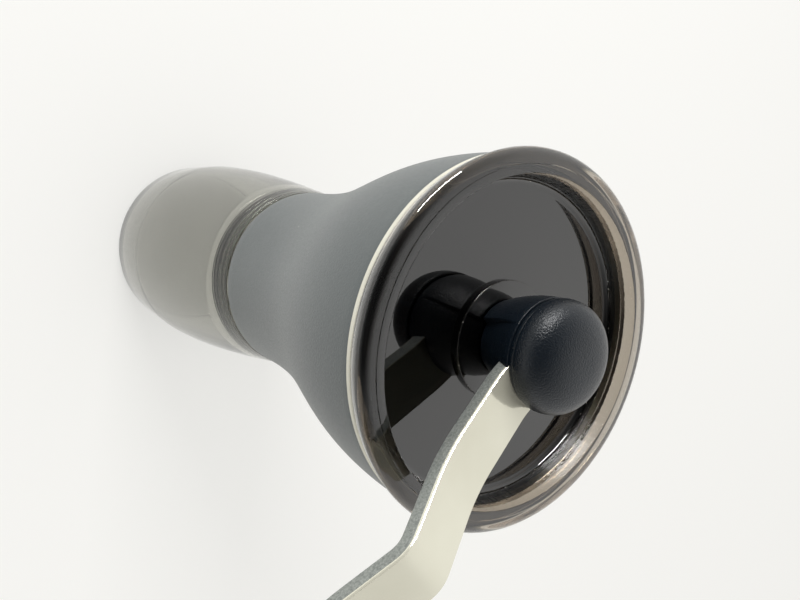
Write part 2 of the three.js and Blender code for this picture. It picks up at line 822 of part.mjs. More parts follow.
function makeKnobCap() {
  const dome = Array.from({ length: domeSteps + 1 }, (_, i) => {
    const angle = (i / domeSteps) * Math.PI / 2;
    const reach = i === domeSteps ? 0 : knobBellyRadius * Math.cos(angle);
    return [reach, knobTop + touch + knobCapHeight * Math.sin(angle)];
  });
  return turned([
    [0, knobTop - knobCapPlug],
    [knobPlugRadius - touch, knobTop - knobCapPlug],
    [knobPlugRadius - touch, knobTop + touch],
    ...dome,
  ], midRound).translate(armReach, 0, 0);
}

// Materials
const material = (color, roughness, metalness, opacity = 1) => new THREE.MeshStandardMaterial({
  color, roughness, metalness, opacity, transparent: opacity < 1,
});
const smokeClear = material(0x3a322c, 0.08, 0, 0.55);
const smokeJar = material(0x5a5049, 0.12, 0, 0.55);
const bodyPlastic = material(0x2b323b, 0.55, 0);
const hubPlastic = material(0x1f2733, 0.5, 0);
const blackPlastic = material(0x17181a, 0.45, 0);
const guidePlastic = material(0x2a2d31, 0.6, 0);
const paleSeal = material(0xd5d3c3, 0.5, 0);
const darkSeal = material(0x1c1e20, 0.8, 0);
const ceramic = material(0xe9e6dd, 0.55, 0);
const bearing = material(0xd9d6cc, 0.4, 0);
const satinSteel = material(0xc3c1b6, 0.3, 1);
const plainSteel = material(0x9a9b9c, 0.35, 1);

const grinder = new THREE.Group();
const addPiece = (name, geometry, finish) => {
  const mesh = new THREE.Mesh(geometry, finish);
  mesh.name = name;
  grinder.add(mesh);
};

addPiece("jar", makeJar(), smokeJar);
addPiece("neck_seal", makeNeckSeal(), darkSeal);
addPiece("hopper_body", makeHopperBody(), bodyPlastic);
addPiece("guide_bridge", makeGuideBridge(), guidePlastic);
addPiece("upper_bush", makeUpperBush(), bearing);
addPiece("lower_bush", makeLowerBush(), bearing);
addPiece("outer_burr", makeOuterBurr(), ceramic);
addPiece("burr_cup", makeBurrCup(), blackPlastic);
addPiece("drive_shaft", makeDriveShaft(), plainSteel);
addPiece("thrust_washer", makeThrustWasher(), bearing);
addPiece("retaining_ring", makeRetainingRing(), plainSteel);
addPiece("spring_washer", makeSpringWasher(), plainSteel);
addPiece("burr_spring", makeBurrSpring(), plainSteel);
addPiece("inner_burr", makeInnerBurr(), ceramic);
addPiece("burr_driver", makeBurrDriver(), blackPlastic);
addPiece("adjuster_nut", makeAdjusterNut(), blackPlastic);
addPiece("lid", makeLid(), smokeClear);
addPiece("lid_seal", makeLidSeal(), paleSeal);
addPiece("hub_sleeve", makeHubSleeve(), hubPlastic);
addPiece("crank_arm", makeCrankArm(), satinSteel);
addPiece("hub_washer", makeHubWasher(), hubPlastic);
addPiece("hub_cap", makeHubCap(), hubPlastic);
addPiece("hub_screw", makeHubScrew(), plainSteel);
addPiece("knob_pin", makeKnobPin(), plainSteel);
addPiece("knob_washer", makeKnobWasher(), bearing);
addPiece("knob", makeKnob(), blackPlastic);
addPiece("knob_cap", makeKnobCap(), blackPlastic);

export default grinder;
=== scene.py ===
import bpy
import bmesh
import math
from mathutils import Matrix, Vector


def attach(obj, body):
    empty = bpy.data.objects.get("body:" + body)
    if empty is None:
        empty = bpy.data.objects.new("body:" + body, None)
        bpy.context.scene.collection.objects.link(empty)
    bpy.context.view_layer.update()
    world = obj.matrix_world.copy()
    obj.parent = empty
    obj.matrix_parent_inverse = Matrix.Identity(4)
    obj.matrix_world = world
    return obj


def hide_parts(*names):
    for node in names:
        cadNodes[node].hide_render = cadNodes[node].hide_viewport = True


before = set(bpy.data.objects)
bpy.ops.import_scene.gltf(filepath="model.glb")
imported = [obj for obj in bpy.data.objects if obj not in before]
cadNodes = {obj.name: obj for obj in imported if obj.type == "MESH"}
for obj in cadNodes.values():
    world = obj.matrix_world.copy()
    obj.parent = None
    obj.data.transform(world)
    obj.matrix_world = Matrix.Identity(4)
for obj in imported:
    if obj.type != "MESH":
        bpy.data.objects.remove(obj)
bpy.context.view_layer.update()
scene = bpy.context.scene
scene.view_settings.view_transform = "Standard"
mm = 0.001


# colours are written as 0 to 255 numbers and turned into Blender's linear ones
def tone(red, green, blue):
    def linear(value):
        value /= 255
        return value / 12.92 if value <= 0.04045 else ((value + 0.055) / 1.055) ** 2.4
    return (linear(red), linear(green), linear(blue), 1)


# camera
print("camera")
cameraSetup = {
    "place": (0.0554479, -0.0854743, 0.2538537),
    "turn": (-0.211438, -0.626273, 2.515251),
    "lens": 33.3,
    "sensor": 36,
    "nearest": 0.005,
}
cameraData = bpy.data.cameras.new("photoCamera")
cameraData.lens = cameraSetup["lens"]
cameraData.sensor_width = cameraSetup["sensor"]
cameraData.clip_start = cameraSetup["nearest"]
camera = bpy.data.objects.new("photoCamera", cameraData)
camera.location = cameraSetup["place"]
camera.rotation_euler = cameraSetup["turn"]
scene.collection.objects.link(camera)
scene.camera = camera

# values that several finishes share; lengths in materials are in metres
softLine = 0.0001  # half the width of the soft line between two zones
speckCore = 0.6  # share of a speck's size that is wholly dusty
speckPick = 0.02  # how softly a cell is picked for a speck
scuffSoft = 0.06  # how softly a scuff ends
plasticIor = 1.5
sheenRough = 0.45
coatRough = 0.02
scratchStretch = (1, 14, 3)
scratchSpan = (0.55, 0.75)  # the part of the noise that shows as scratches
fluteStretch = (1, 1, 0.08)
rubberScatter = (0.0008, 0.0007, 0.0006)


# material helpers
def newFinish(name):
    finish = bpy.data.materials.new(name)
    finish.use_nodes = True
    shader = finish.node_tree.nodes["Principled BSDF"]
    return finish, finish.node_tree, shader


def addNode(tree, kind, **values):
    node = tree.nodes.new(kind)
    for key, value in values.items():
        if hasattr(node, key):
            setattr(node, key, value)
        else:
            node.inputs[key].default_value = value
    return node


def objectNoise(tree, scale, detail=2, stretch=None):
    place = addNode(tree, "ShaderNodeTexCoord").outputs["Object"]
    noise = addNode(tree, "ShaderNodeTexNoise", Scale=scale, Detail=detail)
    if stretch:
        mapping = addNode(tree, "ShaderNodeMapping", Scale=stretch)
        tree.links.new(place, mapping.inputs["Vector"])
        place = mapping.outputs["Vector"]
    tree.links.new(place, noise.inputs["Vector"])
    return noise.outputs["Fac"]


def spread(tree, source, low, high, fromLow=0.3, fromHigh=0.7):
    node = addNode(tree, "ShaderNodeMapRange")
    node.inputs["From Min"].default_value = fromLow
    node.inputs["From Max"].default_value = fromHigh
    node.inputs["To Min"].default_value = low
    node.inputs["To Max"].default_value = high
    tree.links.new(source, node.inputs["Value"])
    return node.outputs["Result"]


def pastEdge(tree, source, edge, soft=softLine):
    return spread(tree, source, 0, 1, edge - soft, edge + soft)


def beforeEdge(tree, source, edge, soft=softLine):
    return spread(tree, source, 1, 0, edge - soft, edge + soft)


def product(tree, first, second, operation="MULTIPLY"):
    node = addNode(tree, "ShaderNodeMath", operation=operation)
    tree.links.new(first, node.inputs[0])
    tree.links.new(second, node.inputs[1])
    return node.outputs["Value"]


def roughFrom(tree, shader, source, look, fromLow=0.3, fromHigh=0.7):
    rough = spread(tree, source, look["roughLow"], look["roughHigh"], fromLow, fromHigh)
    tree.links.new(rough, shader.inputs["Roughness"])


def bumpFrom(tree, shader, source, distance, before=None):
    bump = addNode(tree, "ShaderNodeBump", Distance=distance, Strength=1)
    tree.links.new(source, bump.inputs["Height"])
    if before:
        tree.links.new(before.outputs["Normal"], bump.inputs["Normal"])
    tree.links.new(bump.outputs["Normal"], shader.inputs["Normal"])
    return bump


def colourBetween(tree, shader, factor, first, second):
    mix = addNode(tree, "ShaderNodeMix", data_type="RGBA")
    mix.inputs["A"].default_value = first
    mix.inputs["B"].default_value = second
    tree.links.new(factor, mix.inputs["Factor"])
    tree.links.new(mix.outputs["Result"], shader.inputs["Base Color"])
    return mix


def colourOver(tree, shader, under, factor, colour):
    over = colourBetween(tree, shader, factor, colour, colour)
    tree.links.new(under.outputs["Result"], over.inputs["A"])
    return over


# slow change of tone over a whole piece
def cloudTone(tree, shader, look, detail=3):
    cloud = objectNoise(tree, look["cloudScale"], detail)
    return cloud, colourBetween(tree, shader, spread(tree, cloud, 0, 1), look["dark"], look["light"])


# distance from the mill's axis and height above the table
def axisPlace(tree):
    place = addNode(tree, "ShaderNodeTexCoord").outputs["Object"]
    split = addNode(tree, "ShaderNodeSeparateXYZ")
    flat = addNode(tree, "ShaderNodeVectorMath", operation="MULTIPLY")
    flat.inputs[1].default_value = (1, 1, 0)
    reach = addNode(tree, "ShaderNodeVectorMath", operation="LENGTH")
    tree.links.new(place, split.inputs["Vector"])
    tree.links.new(place, flat.inputs[0])
    tree.links.new(flat.outputs["Vector"], reach.inputs[0])
    return reach.outputs["Value"], split.outputs["Z"]


# small specks in some of the cells that fill space
def dustSpecks(tree, look):
    place = addNode(tree, "ShaderNodeTexCoord")
    cells = addNode(tree, "ShaderNodeTexVoronoi", Scale=look["dustScale"])
    pick = addNode(tree, "ShaderNodeSeparateColor")
    tree.links.new(place.outputs["Object"], cells.inputs["Vector"])
    tree.links.new(cells.outputs["Color"], pick.inputs["Color"])
    near = spread(tree, cells.outputs["Distance"], 1, 0, look["dustSize"] * speckCore, look["dustSize"])
    rare = 1 - look["dustShare"]
    return product(tree, near, spread(tree, pick.outputs["Red"], 0, 1, rare, rare + speckPick))


# broken scuffs between two heights, outside a radius
def scuffedBand(tree, look):
    reach, height = axisPlace(tree)
    low, high = look["scuffHeights"]
    between = product(tree, pastEdge(tree, height, low), beforeEdge(tree, height, high))
    broken = objectNoise(tree, look["scuffScale"], detail=3)
    marks = spread(tree, broken, 0, 1, look["scuffFrom"], look["scuffFrom"] + scuffSoft)
    return product(tree, between, product(tree, pastEdge(tree, reach, look["scuffRadius"]), marks))


# moulded plastic with a fine spark-eroded grain, a slow change of tone, and where the look asks for them
# a neck painted light grey as painted light, a few specks of dust and scuffed edges that are partly a
# painted highlight
def mouldedPlastic(name, look):
    finish, tree, shader = newFinish(name)
    grain = objectNoise(tree, look["grainScale"])
    mix = cloudTone(tree, shader, look)[1]
    # painted light: the neck below this height is painted light grey, for the light band seen through the
    # jar's thread
    if look.get("paintedLightNeck"):
        low = beforeEdge(tree, axisPlace(tree)[1], look["neckTop"])
        mix = colourOver(tree, shader, mix, low, look["paintedLightNeck"])
    if look.get("dustAndShade"):
        mix = colourOver(tree, shader, mix, dustSpecks(tree, look), look["dustAndShade"])
    # scuffed edges; on the hub the band at the cap's joint is partly a painted highlight
    if look.get("scuffAndGlint"):
        colourOver(tree, shader, mix, scuffedBand(tree, look), look["scuffAndGlint"])
    roughFrom(tree, shader, grain, look)
    shader.inputs["IOR"].default_value = plasticIor
    shader.inputs["Sheen Weight"].default_value = look.get("sheen", 0)
    shader.inputs["Sheen Roughness"].default_value = sheenRough
    bumpFrom(tree, shader, grain, look["grainHeight"])
    return finish


# clear smoke plastic: thick places are darker, and hair scratches show; the floor of a pan gets a near black
# tint as painted shade of the dark hollow under it, dust and scuffs stop the light, and fine upright flutes
# from the mould are on the pan's wall
def smokeClear(name, look):
    finish, tree, shader = newFinish(name)
    reach, height = axisPlace(tree)
    # painted shade: inside this radius and below this height the lid is tinted near black, for the dark
    # hollow under the pan
    outside = pastEdge(tree, reach, look["paintedShadeRadius"])
    over = pastEdge(tree, height, look["paintedShadeTop"], 2 * softLine)
    clear = product(tree, outside, over, "MAXIMUM")
    mix = colourBetween(tree, shader, clear, look["paintedShadeTint"], look["tint"])
    shader.inputs["IOR"].default_value = look["ior"]
    shader.inputs["Transmission Weight"].default_value = 1
    shader.inputs["Coat Weight"].default_value = look["coat"]
    shader.inputs["Coat IOR"].default_value = look["coatIor"]
    shader.inputs["Coat Roughness"].default_value = coatRough
    depth = addNode(tree, "ShaderNodeVolumeAbsorption", Color=look["smoke"], Density=look["smokeDensity"])
    tree.links.new(depth.outputs["Volume"], tree.nodes["Material Output"].inputs["Volume"])
    scratch = objectNoise(tree, look["scratchScale"], stretch=scratchStretch)
    roughFrom(tree, shader, scratch, look, *scratchSpan)
    wave = objectNoise(tree, look["waveScale"], detail=1)
    ripple = bumpFrom(tree, shader, wave, look["waveHeight"])
    if look.get("dustAndShade"):
        specks = product(tree, dustSpecks(tree, look), scuffedBand(tree, look), "MAXIMUM")
        colourOver(tree, shader, mix, specks, look["dustAndShade"])
        seen = spread(tree, specks, 1, look["dustClear"], 0, 1)
        tree.links.new(seen, shader.inputs["Transmission Weight"])
    if look.get("fluteScale"):
        inside = beforeEdge(tree, reach, look["fluteRadius"])
        above = pastEdge(tree, height, look["fluteLow"], look["fluteFade"])
        wall = product(tree, inside, above)
        flutes = objectNoise(tree, look["fluteScale"], stretch=fluteStretch)
        swing = product(tree, spread(tree, flutes, -0.5, 0.5), wall)
        bumpFrom(tree, shader, swing, look["fluteHeight"], before=ripple)
        coat = spread(tree, wall, look["coat"], look["fluteCoat"], 0, 1)
        tree.links.new(coat, shader.inputs["Coat Weight"])
    return finish


# soft rubber; a ring can be painted near black between two radii, as painted shade where the lid's rim
# covers it
def softRubber(name, look):
    finish, tree, shader = newFinish(name)
    cloud, mix = cloudTone(tree, shader, look)
    # painted shade: near black between two radii, for the shade under the lid's rim
    if look.get("dustAndShade"):
        reach = axisPlace(tree)[0]
        beyond = pastEdge(tree, reach, look["paintedShadeFrom"])
        within = beforeEdge(tree, reach, look["paintedShadeTo"])
        colourOver(tree, shader, mix, product(tree, beyond, within), look["dustAndShade"])
    roughFrom(tree, shader, cloud, look)
    shader.inputs["Subsurface Weight"].default_value = look["depth"]
    shader.inputs["Subsurface Radius"].default_value = rubberScatter
    bumpFrom(tree, shader, objectNoise(tree, look["grainScale"]), look["grainHeight"])
    return finish


# rolled or ground steel, with fine lines along one axis
def groundSteel(name, look):
    finish, tree, shader = newFinish(name)
    shader.inputs["Metallic"].default_value = look.get("metal", 1)
    lines = objectNoise(tree, look["lineScale"], detail=3, stretch=look["lineStretch"])
    cloudTone(tree, shader, look)
    roughFrom(tree, shader, lines, look)
    bumpFrom(tree, shader, lines, look["lineHeight"])
    return finish


# fired ceramic, finely pitted
def plainStone(name, look):
    finish, tree, shader = newFinish(name)
    cloud = cloudTone(tree, shader, look, detail=4)[0]
    roughFrom(tree, shader, cloud, look)
    bumpFrom(tree, shader, objectNoise(tree, look["grainScale"], detail=3), look["grainHeight"])
    return finish


print("finishes")
hopperFinish = mouldedPlastic("hopperPlastic", {
    "dark": tone(78, 84, 85), "light": tone(87, 93, 93), "cloudScale": 30, "sheen": 0.22,
    "grainScale": 2600, "grainHeight": 0.00006, "roughLow": 0.42, "roughHigh": 0.58,
    "dustAndShade": tone(196, 196, 190), "dustScale": 240, "dustSize": 0.05, "dustShare": 0.22,
    # painted light: the neck's light grey stands in for the light band seen through the jar
    "paintedLightNeck": tone(164, 167, 161), "neckTop": 0.081,
})
hubFinish = mouldedPlastic("hubPlastic", {
    "dark": tone(9, 17, 25), "light": tone(13, 23, 32), "cloudScale": 60,
    "grainScale": 3200, "grainHeight": 0.0001, "roughLow": 0.26, "roughHigh": 0.4,
    "dustAndShade": tone(150, 152, 148), "dustScale": 420, "dustSize": 0.05, "dustShare": 0.1,
    # scuffs round the hub's top and the cap's rim, partly a painted highlight along their joint
    "scuffAndGlint": tone(140, 146, 148), "scuffHeights": (0.1672, 0.1687), "scuffRadius": 0.0101,
    "scuffScale": 800, "scuffFrom": 0.64,
})
blackFinish = mouldedPlastic("blackPlastic", {
    "dark": tone(27, 28, 30), "light": tone(35, 36, 38), "cloudScale": 60,
    "grainScale": 2400, "grainHeight": 0.00006, "roughLow": 0.4, "roughHigh": 0.55,
})
nylonFinish = mouldedPlastic("nylon", {
    "dark": tone(214, 212, 204), "light": tone(226, 224, 216), "cloudScale": 90,
    "grainScale": 1800, "grainHeight": 0.00003, "roughLow": 0.35, "roughHigh": 0.5,
})
lidFinish = smokeClear("smokeLid", {
    "tint": tone(255, 254, 250), "ior": 1.49, "smoke": (0.5, 0.43, 0.34, 1), "smokeDensity": 330,
    # painted shade: the near black tint of the pan floor
    "paintedShadeTint": tone(50, 46, 44), "paintedShadeRadius": 0.03065, "paintedShadeTop": 0.1563,
    "coat": 0.85, "coatIor": 1.6,
    "dustAndShade": tone(205, 203, 196), "dustScale": 330, "dustSize": 0.04, "dustShare": 0.16, "dustClear": 0.2,
    "scuffHeights": (0.1559, 0.1562), "scuffRadius": 0.01138, "scuffScale": 1100, "scuffFrom": 0.62,
    "waveScale": 60, "waveHeight": 0.00002, "scratchScale": 500, "roughLow": 0.004, "roughHigh": 0.014,
    "fluteScale": 2200, "fluteHeight": 0.00007, "fluteRadius": 0.0314, "fluteLow": 0.1564,
    "fluteFade": 0.0004, "fluteCoat": 0.2,
})
jarFinish = smokeClear("smokeJar", {
    "tint": tone(252, 252, 250), "ior": 1.49, "smoke": (0.41, 0.405, 0.35, 1), "smokeDensity": 300,
    "paintedShadeTint": tone(252, 252, 250), "paintedShadeRadius": 0, "paintedShadeTop": 0, "coat": 0, "coatIor": 1.5,
    "waveScale": 40, "waveHeight": 0.00004, "scratchScale": 400, "roughLow": 0.03, "roughHigh": 0.08,
})
sealFinish = softRubber("paleSilicone", {
    "dark": tone(204, 202, 188), "light": tone(218, 216, 203), "cloudScale": 120, "depth": 0.2,
    "grainScale": 900, "grainHeight": 0.000004, "roughLow": 0.5, "roughHigh": 0.65,
    # painted shade on the seal's top, where the lid's rim covers it
    "dustAndShade": tone(12, 12, 12), "paintedShadeFrom": 0.0329, "paintedShadeTo": 0.035,
})
darkSealFinish = softRubber("darkSilicone", {
    "dark": tone(56, 58, 58), "light": tone(66, 68, 68), "cloudScale": 120, "depth": 0,
    "grainScale": 1600, "grainHeight": 0.00002, "roughLow": 0.6, "roughHigh": 0.75,
})
armFinish = groundSteel("satinSteel", {
    "dark": tone(216, 213, 195), "light": tone(230, 228, 211), "cloudScale": 45,
    "lineScale": 500, "lineStretch": (1, 1, 1), "lineHeight": 0.00001,
    "roughLow": 0.07, "roughHigh": 0.13, "metal": 0.45,
})
shearedFinish = groundSteel("shearedEdge", {
    "dark": tone(112, 116, 113), "light": tone(150, 154, 149), "cloudScale": 3400,
    "lineScale": 3000, "lineStretch": (0.7, 1, 1.5), "lineHeight": 0.00003,
    "roughLow": 0.34, "roughHigh": 0.5, "metal": 0.3,
})
shaftFinish = groundSteel("turnedSteel", {
    "dark": tone(172, 172, 170), "light": tone(188, 188, 186), "cloudScale": 80,
    "lineScale": 300, "lineStretch": (1, 1, 12), "lineHeight": 0.00001,
    "roughLow": 0.22, "roughHigh": 0.34,
})
ceramicFinish = plainStone("whiteCeramic", {
    "dark": tone(224, 220, 210), "light": tone(238, 235, 227), "cloudScale": 150,
    "grainScale": 1500, "grainHeight": 0.00004, "roughLow": 0.4, "roughHigh": 0.6,
})

# values for meshes
softAngle = 30  # faces that meet below this angle look smooth, in degrees
threadAngle = 50
weldGap = 1e-7  # vertices nearer than this become one, in metres
turnWeldGap = 1e-6
turnCircle = 100  # radius of the circle that profiles are swept round, and that their radii are counted from
turnSides = 128
ridgeSteps = 72  # points along one turn of the thread
ridgeSides = 8


# mesh helpers; profiles and rings are in millimetres
def linkPiece(name, mesh):
    piece = bpy.data.objects.new(name, mesh)
    scene.collection.objects.link(piece)
    return piece


def tidyFaces(mesh, angle):
    work = bmesh.new()
    work.from_mesh(mesh)
    bmesh.ops.remove_doubles(work, verts=work.verts, dist=weldGap)
    bmesh.ops.recalc_face_normals(work, faces=work.faces)
    if work.calc_volume(signed=True) < 0:
        bmesh.ops.reverse_faces(work, faces=work.faces)
    work.to_mesh(mesh)
    work.free()
    mesh.polygons.foreach_set("use_smooth", [True] * len(mesh.polygons))
    mesh.set_sharp_from_angle(angle=math.radians(angle))


def bakeNodes(source, name, angle=softAngle):
    graph = bpy.context.evaluated_depsgraph_get()
    mesh = bpy.data.meshes.new_from_object(source.evaluated_get(graph), depsgraph=graph)
    mesh.name = name
    bpy.data.objects.remove(source)
    tidyFaces(mesh, angle)
    return linkPiece(name, mesh)


def setInput(modifier, tree, label, value):
    for item in tree.interface.items_tree:
        if item.item_type == "SOCKET" and item.in_out == "INPUT" and item.name == label:
            modifier[item.identifier] = value


def newTree(name, inputs):
    tree = bpy.data.node_groups.new(name, "GeometryNodeTree")
    for label, kind, value in inputs:
        socket = tree.interface.new_socket(label, in_out="INPUT", socket_type=kind)
        if value is not None:
            socket.default_value = value
    tree.interface.new_socket("Piece", in_out="OUTPUT", socket_type="NodeSocketGeometry")
    return tree, tree.nodes.new("NodeGroupInput"), tree.nodes.new("NodeGroupOutput")


def endTree(tree, entry, exit, geometry):
    smooth = tree.nodes.new("GeometryNodeSetShadeSmooth")
    real = tree.nodes.new("GeometryNodeRealizeInstances")
    paint = tree.nodes.new("GeometryNodeSetMaterial")
    tree.links.new(geometry, smooth.inputs["Geometry"])
    tree.links.new(smooth.outputs["Geometry"], real.inputs["Geometry"])
    tree.links.new(real.outputs["Geometry"], paint.inputs["Geometry"])
    tree.links.new(entry.outputs["Finish"], paint.inputs["Material"])
    tree.links.new(paint.outputs["Geometry"], exit.inputs["Piece"])


# turned pieces: a profile that is swept round a circle
turnTree, turnIn, turnOut = newTree("turnedPiece", [
    ("Profile", "NodeSocketGeometry", None),
    ("Sides", "NodeSocketInt", turnSides),
    ("Finish", "NodeSocketMaterial", None),
])
turnCurve = addNode(turnTree, "GeometryNodeMeshToCurve")
turnPath = addNode(turnTree, "GeometryNodeCurvePrimitiveCircle", Radius=turnCircle * mm)
turnUp = addNode(turnTree, "GeometryNodeSetCurveNormal", mode="Z_UP")
turnSweep = addNode(turnTree, "GeometryNodeCurveToMesh")
turnMerge = addNode(turnTree, "GeometryNodeMergeByDistance", Distance=turnWeldGap)
for source, target in (
    (turnIn.outputs["Profile"], turnCurve.inputs["Mesh"]),
    (turnIn.outputs["Sides"], turnPath.inputs["Resolution"]),
    (turnPath.outputs["Curve"], turnUp.inputs["Curve"]),
    (turnUp.outputs["Curve"], turnSweep.inputs["Curve"]),
    (turnCurve.outputs["Curve"], turnSweep.inputs["Profile Curve"]),
    (turnSweep.outputs["Mesh"], turnMerge.inputs["Geometry"]),
):
    turnTree.links.new(source, target)
endTree(turnTree, turnIn, turnOut, turnMerge.outputs["Geometry"])


# a profile that starts away from the axis is closed into a ring
def turnPiece(name, profile, finish, sides, angle=softAngle, centre=0):
    closed = profile[0][0] > 0
    points = [((radius - turnCircle) * mm, -height * mm, 0) for radius, height in profile]
    count = len(points)
    edges = [(i, i + 1) for i in range(count - 1)] + ([(count - 1, 0)] if closed else [])
    mesh = bpy.data.meshes.new(name)
    mesh.from_pydata(points, edges, [])
    source = linkPiece(name + "Profile", mesh)
    modifier = source.modifiers.new("turn", "NODES")
    modifier.node_group = turnTree
    setInput(modifier, turnTree, "Sides", sides)
    setInput(modifier, turnTree, "Finish", finish)
    piece = bakeNodes(source, name, angle)
    if centre:
        piece.data.transform(Matrix.Translation((centre * mm, 0, 0)))
    return piece


def arc(centreX, centreZ, radius, start, end, steps):
    turn = [math.radians(start + (end - start) * i / steps) for i in range(steps + 1)]
    return [(centreX + radius * math.cos(t), centreZ + radius * math.sin(t)) for t in turn]


def bezier(points, steps):
    first, second, third, fourth = [Vector(p) for p in points]
    result = []
    for i in range(steps + 1):
        t = i / steps
        s = 1 - t
        p = s * s * s * first + 3 * s * s * t * second + 3 * s * t * t * third + t * t * t * fourth
        result.append((p.x, p.y))
    return result


# rings of points that are joined one after the other, with both ends closed
def loftPiece(name, rings, finish, angle=softAngle):
    count = len(rings[0])
    points = [tuple(value * mm for value in point) for ring in rings for point in ring]
    faces = []
    for i in range(len(rings) - 1):
        for k in range(count):
            side = (k + 1) % count
            faces.append((i * count + k, i * count + side, (i + 1) * count + side, (i + 1) * count + k))
    faces.append(tuple(range(count))[::-1])
    faces.append(tuple((len(rings) - 1) * count + k for k in range(count)))
    mesh = bpy.data.meshes.new(name)
    mesh.from_pydata(points, [], faces)
    tidyFaces(mesh, angle)
    mesh.materials.append(finish)
    return linkPiece(name, mesh)


def smoothStep(value):
    value = min(max(value, 0), 1)
    return value * value * (3 - 2 * value)


def paintNode(name, finish):
    mesh = cadNodes[name].data
    mesh.materials.clear()
    mesh.materials.append(finish)


# heights that several pieces share, as in the solids, in millimetres
mouthZ = 80.3
seamTop = 81.2
rimZ = 156.1
widestZ = 160
lidTop = 161.7
armBottom = 164.8
armTop = 167.4
capBottom = 168.5


# hopper
print("hopper")
hopperShape = {
    "waist": 23.5, "shoulder": 34.9, "wall": 2, "flareLow": 0.546, "flareHigh": 0.413, "flareSteps": 40,
    "rimDepth": 5.4, "neckRadius": 20.5, "neckBore": 18.3, "neckEnd": 72.8,
    "throatBore": 16.9, "seat": 88.24, "throatTop": 89.34, "funnelTop": 95.34, "funnelClear": 0.5,
    "funnelStep": 0.2, "edgeRound": 0.35, "edgeSteps": 4, "sides": 160,
}


def flareCurve(shape, inset):
    high = rimZ - seamTop
    return bezier([
        (shape["waist"] - inset, seamTop),
        (shape["waist"] - inset, seamTop + high * shape["flareLow"]),
        (shape["shoulder"] - inset, rimZ - high * shape["flareHigh"]),
        (shape["shoulder"] - inset, rimZ),
    ], shape["flareSteps"])


def makeHopper(shape):
    edge = shape["edgeRound"]
    innerLow = shape["funnelTop"] + shape["funnelClear"]
    innerHigh = rimZ - shape["rimDepth"]
    outside = [point for point in flareCurve(shape, 0) if seamTop + edge < point[1] < rimZ - edge]
    inside = [point for point in flareCurve(shape, shape["wall"]) if innerLow < point[1] < innerHigh]
    rimIn = shape["shoulder"] - shape["wall"]
    profile = [(shape["neckRadius"], shape["neckEnd"]), (shape["neckRadius"], seamTop)]
    profile += arc(shape["waist"] - edge, seamTop + edge, edge, -90, 0, shape["edgeSteps"])
    profile += outside
    profile += arc(shape["shoulder"] - edge, rimZ - edge, edge, 0, 90, shape["edgeSteps"])
    profile += [(rimIn + edge, rimZ), (rimIn, rimZ - edge)]
    profile += inside[::-1]
    profile += [(inside[0][0] - shape["funnelStep"], shape["funnelTop"])]
    profile += [(shape["throatBore"], shape["throatTop"]), (shape["throatBore"], shape["seat"])]
    profile += [(shape["neckBore"], shape["seat"]), (shape["neckBore"], shape["neckEnd"])]
    return turnPiece("hopperShell", profile, hopperFinish, shape["sides"])


# thread ridge: a small round tooth that follows a spiral; its inputs are in metres
ridgeTree, ridgeIn, ridgeOut = newTree("threadRidge", [
    ("Radius", "NodeSocketFloat", 0.0205),
    ("Low", "NodeSocketFloat", 0.0735),
    ("Rise", "NodeSocketFloat", 0.005),
    ("Turns", "NodeSocketFloat", 1.25),
    ("Depth", "NodeSocketFloat", 0.0009),
    ("Starts", "NodeSocketInt", 2),
    ("Finish", "NodeSocketMaterial", None),
])
ridgePath = addNode(ridgeTree, "GeometryNodeCurveSpiral", Resolution=ridgeSteps)
ridgeUp = addNode(ridgeTree, "GeometryNodeSetCurveNormal", mode="Z_UP")
ridgeTooth = addNode(ridgeTree, "GeometryNodeCurvePrimitiveCircle", Resolution=ridgeSides)
ridgeSweep = addNode(ridgeTree, "GeometryNodeCurveToMesh")
ridgeSweep.inputs["Fill Caps"].default_value = True
ridgeLift = addNode(ridgeTree, "ShaderNodeCombineXYZ")
ridgePlace = addNode(ridgeTree, "GeometryNodeTransform")
ridgeAxis = addNode(ridgeTree, "GeometryNodeMeshLine", Offset=(0, 0, 0))
ridgeShare = addNode(ridgeTree, "ShaderNodeMath", operation="DIVIDE")
ridgeShare.inputs[0].default_value = 2 * math.pi
ridgeIndex = addNode(ridgeTree, "GeometryNodeInputIndex")
ridgeAngle = addNode(ridgeTree, "ShaderNodeMath", operation="MULTIPLY")
ridgeTurn = addNode(ridgeTree, "ShaderNodeCombineXYZ")
ridgeCopies = addNode(ridgeTree, "GeometryNodeInstanceOnPoints")
